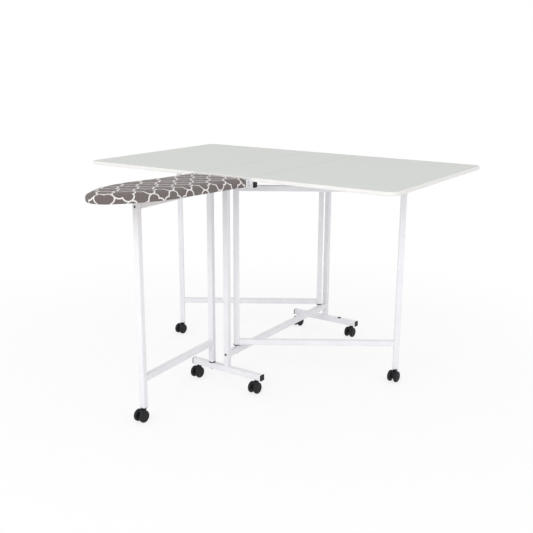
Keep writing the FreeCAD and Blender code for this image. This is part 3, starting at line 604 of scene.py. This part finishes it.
def leg_screw():
    """Screw in the front face of the ironing gate's leg, below its cap."""
    low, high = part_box("ironing_gate_leg")
    normal = Vector((math.sin(IRON_GATE_SKEW), -math.cos(IRON_GATE_SKEW), 0.0))
    middle = (low + high) / 2
    place = Vector((middle.x, middle.y, high.z - LEG_SCREW_DROP)) + normal * TUBE / 2
    vertices, faces = screw_head(place, normal, radius=0.0044, height=0.0022)
    piece = make_object("ironing_leg_screw", vertices, faces, [DARK_STEEL], 35)
    attach(piece, "ironing_gate")


# ---- ironing board ----------------------------------------------------------------
def board_plan(spacing=0.004):
    """Points and outward normals round the board's outline, counter-clockwise from the rear."""
    half, side = BOARD_HALF, BOARD_SIDE_R
    shoulder = BOARD_REAR_Y - BOARD_LENGTH + BOARD_TAPER
    centre_x = side - half
    nose = (side ** 2 - centre_x ** 2 - BOARD_TAPER ** 2) / (2 * (side - BOARD_TAPER))
    nose_y = shoulder - BOARD_TAPER + nose
    aim = Vector((centre_x, nose_y - shoulder)).normalized()
    sweep = math.atan2(-aim.y, aim.x)
    points = []

    def arc(cx, cy, radius, start, end, skip_first=True):
        steps = max(4, round(abs(end - start) * radius / spacing))
        for k in range(1 if skip_first else 0, steps + 1):
            angle = start + (end - start) * k / steps
            normal = Vector((math.cos(angle), math.sin(angle)))
            points.append((Vector((cx, cy)) + normal * radius, normal))

    def line(a, b, normal):
        steps = max(1, round((Vector(b) - Vector(a)).length / spacing))
        for k in range(1, steps + 1):
            points.append((Vector(a).lerp(Vector(b), k / steps), Vector(normal)))

    rear, corner = BOARD_REAR_Y, BOARD_REAR_R
    line((half - corner, rear), (-half + corner, rear), (0, 1))
    arc(-half + corner, rear - corner, corner, math.radians(90), math.radians(180))
    line((-half, rear - corner), (-half, shoulder), (-1, 0))
    arc(-half + side, shoulder, side, math.pi, math.pi + sweep)
    arc(0, nose_y, nose, math.pi + sweep, math.tau - sweep)
    arc(half - side, shoulder, side, -sweep, 0.0)
    line((half, shoulder), (half, rear - corner), (1, 0))
    arc(half - corner, rear - corner, corner, 0.0, math.radians(90))
    return points, nose_y


def tilted(point):
    """Turn a point about the board's hinge to its slope in use, in the row frame."""
    dy, dz = point.y - BOARD_PIVOT[0], point.z - BOARD_PIVOT[1]
    cos, sin = math.cos(BOARD_TILT), math.sin(BOARD_TILT)
    y = BOARD_PIVOT[0] + dy * cos + dz * sin + DY
    return Vector((point.x, y, BOARD_PIVOT[1] + dz * cos - dy * sin))


def pad_profile():
    """Inset and height above the underside, from the hem's inner edge over the side to the top."""
    points = list(PAD_HEM + PAD_SIDE)
    points += [(-PAD_PROUD, PAD_SIDE_TOP), (-PAD_PROUD, PAD_TOP - PAD_ROLL_DOWN)]
    for k in range(1, PAD_ROLL_STEPS + 1):
        angle = math.radians(90) * k / PAD_ROLL_STEPS
        points.append(((PAD_ROLL_IN + PAD_PROUD) * (1 - math.cos(angle)) - PAD_PROUD,
                       PAD_TOP - PAD_ROLL_DOWN * (1 - math.sin(angle))))
    return points


def under_flange(place):
    """1 where a hinge arm's flange presses the hem flat against the panel, fading to 0."""
    across = (abs(place.x) - BOARD_FLANGE_INNER_X) / FLANGE_FADE + 1.0
    along = (place.y - BOARD_FLANGE_END_Y) / FLANGE_FADE + 1.0
    return max(0.0, min(1.0, across, along))


def flap_height(place, inset, height, length, bend):
    """Height of the cover's flap under the panel: gathered by its drawstring, most at the nose."""
    pull = max(0.0, min(1.0, (inset - 0.006) / 0.022)) * (0.25 + 0.75 * bend)
    wave = math.sin(length * math.tau / GATHER_PITCH + 1.3 * math.sin(length * 37.0))
    gathered = height - GATHER_DEPTH * pull * (0.5 + 0.5 * wave)
    return gathered + (FLANGE_HEIGHT - gathered) * under_flange(place)


def ironing_pad():
    """Padded cover: flat top, rolled sides and a gathered hem under the panel."""
    plan, nose_y = board_plan()
    profile = pad_profile()
    unrolled = [profile[-1][0]]
    for a, b in zip(reversed(profile[:-1]), reversed(profile[1:])):
        unrolled.insert(0, unrolled[0] - math.hypot(a[0] - b[0], a[1] - b[1]))
    lengths = [0.0]
    for (a, _), (b, _) in zip(plan, plan[1:]):
        lengths.append(lengths[-1] + (b - a).length)
    rings, cloth = [], []
    for k, (inset, height) in enumerate(profile):
        ring, flat = [], []
        for (place, normal), length in zip(plan, lengths):
            bend = (nose_y + NOSE_GATHER_LENGTH - place.y) / NOSE_GATHER_LENGTH
            bend = max(0.0, min(1.0, bend))
            p = place - normal * inset
            z = flap_height(p, inset, height, length, bend) if k < len(PAD_HEM) else height
            ring.append(Vector((p.x, p.y, BOARD_UNDER + z)))
            flat.append(place - normal * unrolled[k])
        rings.append(ring)
        cloth.append(flat)
    for share in PAD_TOP_RINGS:
        ring, flat = [], []
        for place, normal in plan:
            start = place - normal * PAD_ROLL_IN
            spine = Vector((0.0, min(max(start.y, nose_y - 0.01), BOARD_REAR_Y - 0.07)))
            p = start.lerp(spine, share)
            ring.append(Vector((p.x, p.y, BOARD_UNDER + PAD_TOP)))
            flat.append(p)
        rings.append(ring)
        cloth.append(flat)
    rings = [[tilted(p) for p in ring] for ring in rings]
    vertices, faces = loft(rings)
    piece = make_object("ironing_cover", vertices, faces, [COVER])
    mesh = piece.data
    layer = mesh.uv_layers.new(name="cloth")
    places = [p for flat in cloth for p in flat]
    for loop in mesh.loops:
        place = places[loop.vertex_index]
        layer.data[loop.index].uv = (place.x, place.y)
    pinned = piece.vertex_groups.new(name="pinned")
    pinned.add(list(range(len(PAD_HEM) * len(plan))), 1.0, "REPLACE")
    bm = bmesh.new()
    bm.from_mesh(mesh)
    bmesh.ops.remove_doubles(bm, verts=bm.verts, dist=0.0002)
    bmesh.ops.recalc_face_normals(bm, faces=bm.faces)
    for face in bm.faces:
        face.smooth = True
    bm.to_mesh(mesh)
    bm.free()
    settle_cloth(piece, "pinned")
    piece.modifiers.new("round", "SUBSURF").render_levels = 1
    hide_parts("ironing_board_pad")
    attach(piece, "ironing_board")


def settle_cloth(piece, pinned, frames=16, reach=0.0022):
    """Let the foam under a stretched cover press it out as simulated cloth, and keep the result."""
    cloth = piece.modifiers.new("cloth", "CLOTH")
    settings = cloth.settings
    settings.quality = 6
    settings.mass = 0.2
    settings.tension_stiffness = 30
    settings.compression_stiffness = 30
    settings.shear_stiffness = 10
    settings.bending_stiffness = 1.0
    settings.use_pressure = True
    settings.uniform_pressure_force = 2.0
    settings.vertex_group_mass = pinned
    settings.effector_weights.gravity = 0
    cloth.collision_settings.use_collision = False
    cloth.point_cache.frame_end = frames
    scene = bpy.context.scene
    for number in range(1, frames + 1):
        scene.frame_set(number)
    result = piece.evaluated_get(bpy.context.evaluated_depsgraph_get()).to_mesh()
    settled = [vertex.co.copy() for vertex in result.vertices]
    piece.modifiers.remove(cloth)
    for vertex, place in zip(piece.data.vertices, settled):
        step = place - vertex.co
        vertex.co += step * min(1.0, reach / max(step.length, 1e-9))
    scene.frame_set(1)


# ---- stage ------------------------------------------------------------------------
def studio_floor():
    """Pale floor that keeps the shadow near the table and turns white further out."""
    r = FLOOR_REACH
    corners = [(-r, -r, 0), (r, -r, 0), (r, r, 0), (-r, r, 0)]
    floor = make_object("floor", corners, [(0, 1, 2, 3)], [])
    n = Nodes("studio_floor")
    n.set(Base_Color=(0.95, 0.95, 0.95), Roughness=0.9)
    n.set(Specular_IOR_Level=0.1)
    path = n.add("LightPath")
    seen = n.math("MAXIMUM", path.outputs["Is Camera Ray"], path.outputs["Is Glossy Ray"])
    distance = n.add("VectorMath", {0: n.objects()}, operation="LENGTH").outputs["Value"]
    white = n.add("MapRange", {"Value": distance, "From Min": 0.9, "From Max": 2.4, "To Min": 0.76,
                               "To Max": 1.0}, interpolation_type="SMOOTHSTEP").outputs["Result"]
    glow = n.add("Emission", {"Color": (1.0, 1.0, 1.0), "Strength": 1.0})
    share = n.math("MULTIPLY", seen, white)
    blend = n.add("MixShader", {0: share, 1: n.bsdf.outputs[0], 2: glow.outputs[0]})
    output = n.tree.nodes["Material Output"]
    n.tree.links.new(blend.outputs[0], output.inputs["Surface"])
    floor.data.materials.append(n.material)


def studio_world():
    """Plain light from all round, and a white background for the camera and for reflections."""
    world = bpy.data.worlds.new("studio")
    bpy.context.scene.world = world
    world.use_nodes = True
    tree = world.node_tree
    background = tree.nodes["Background"]
    background.inputs["Color"].default_value = (1.0, 1.0, 1.0, 1.0)
    background.inputs["Strength"].default_value = WORLD_STRENGTH
    white = tree.nodes.new("ShaderNodeBackground")
    white.inputs["Color"].default_value = (1.0, 1.0, 1.0, 1.0)
    white.inputs["Strength"].default_value = 1.0
    light_path = tree.nodes.new("ShaderNodeLightPath")
    either = tree.nodes.new("ShaderNodeMath")
    either.operation = "MAXIMUM"
    tree.links.new(light_path.outputs["Is Camera Ray"], either.inputs[0])
    tree.links.new(light_path.outputs["Is Glossy Ray"], either.inputs[1])
    blend = tree.nodes.new("ShaderNodeMixShader")
    tree.links.new(either.outputs[0], blend.inputs[0])
    tree.links.new(background.outputs[0], blend.inputs[1])
    tree.links.new(white.outputs[0], blend.inputs[2])
    tree.links.new(blend.outputs[0], tree.nodes["World Output"].inputs["Surface"])


def lamp(name, place, power):
    """Soft round lamp aimed at the table; power in watts."""
    data = bpy.data.lights.new(name, "AREA")
    data.shape = "DISK"
    data.size = LAMP_SIZE
    data.energy = power
    obj = bpy.data.objects.new(name, data)
    bpy.context.scene.collection.objects.link(obj)
    obj.location = place
    aim = Vector(LAMP_TARGET) - Vector(place)
    obj.rotation_euler = aim.to_track_quat("-Z", "Y").to_euler()


def stage():
    studio_floor()
    studio_world()
    lamp("key", (0.4, -5.2, 3.2), 92)
    lamp("fill", (4.6, -0.8, 2.2), 20)
    bpy.context.scene.view_settings.view_transform = "Standard"


def camera():
    """Camera at the photograph's angle."""
    level = math.cos(CAMERA_PITCH)
    forward = Vector((math.sin(CAMERA_YAW) * level, math.cos(CAMERA_YAW) * level,
                      -math.sin(CAMERA_PITCH)))
    right = Vector((math.cos(CAMERA_YAW), -math.sin(CAMERA_YAW), 0.0))
    up = right.cross(forward)
    cos, sin = math.cos(CAMERA_ROLL), math.sin(CAMERA_ROLL)
    rolled_right = right * cos + up * sin
    rolled_up = up * cos - right * sin
    data = bpy.data.cameras.new("camera")
    data.lens = CAMERA_LENS
    data.sensor_width = SENSOR_WIDTH
    obj = bpy.data.objects.new("camera", data)
    bpy.context.scene.collection.objects.link(obj)
    turn = Matrix((rolled_right, rolled_up, -forward)).transposed().to_4x4()
    x, y, z = CAMERA_PLACE
    obj.matrix_world = Matrix.Translation((x, y + DY, z)) @ turn
    bpy.context.scene.camera = obj


camera()
dress_cad_nodes()
tabletop()
for gate in ("right_gate", "left_gate", "ironing_gate"):
    gate_welds(gate)
    bush_rim(gate)
hinge_screws()
leg_screw()
ironing_pad()
stage()

bpy.context.view_layer.update()
